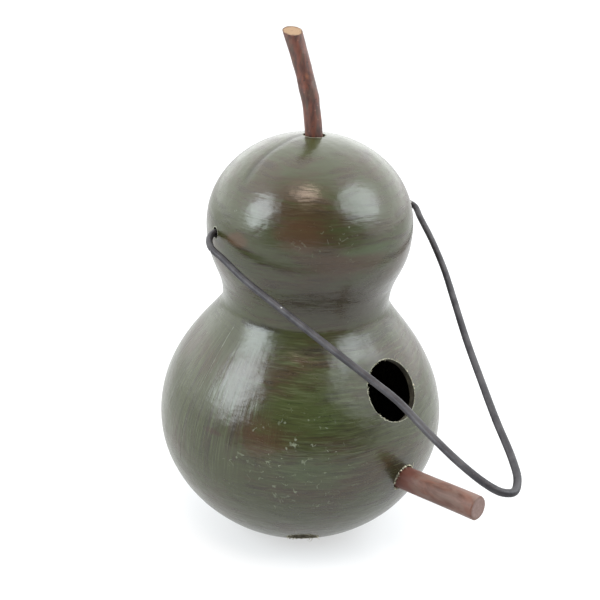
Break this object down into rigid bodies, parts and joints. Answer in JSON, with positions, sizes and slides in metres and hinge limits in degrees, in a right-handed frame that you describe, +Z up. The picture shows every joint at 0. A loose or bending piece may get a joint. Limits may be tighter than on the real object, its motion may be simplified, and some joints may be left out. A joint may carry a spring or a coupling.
{
  "type": "dried bottle gourd birdhouse",
  "caption": "Hollow dried bottle gourd made into a hanging birdhouse, with an entrance, a twig perch, a twig stem and a swinging wire bail.",
  "frame": {"origin": "on the gourd's axis, at the middle of the small flat that it stands on", "axes": "+Z up along the gourd's axis, -Y out through the bird entrance and above the perch"},
  "size_m": [0.138, 0.216, 0.2389],
  "materials": {
    "painted_rind": "gloss",
    "bark": "matte",
    "stained_twig": "satin",
    "dark_wire": "satin"
  },
  "bodies": {
    "gourd": {"gourd_shell": "painted_rind", "stem_twig": "bark", "perch_twig": "stained_twig"},
    "bail": {"wire_bail": "dark_wire"}
  },
  "joints": [
    {"name": "bail_swing", "type": "hinge", "parent": "gourd", "child": "bail", "pos_m": [0.00045, 0.0032, 0.1547], "axis": [0.9814, -0.1908, 0.0227], "range_deg": [-247, 28]}
  ]
}
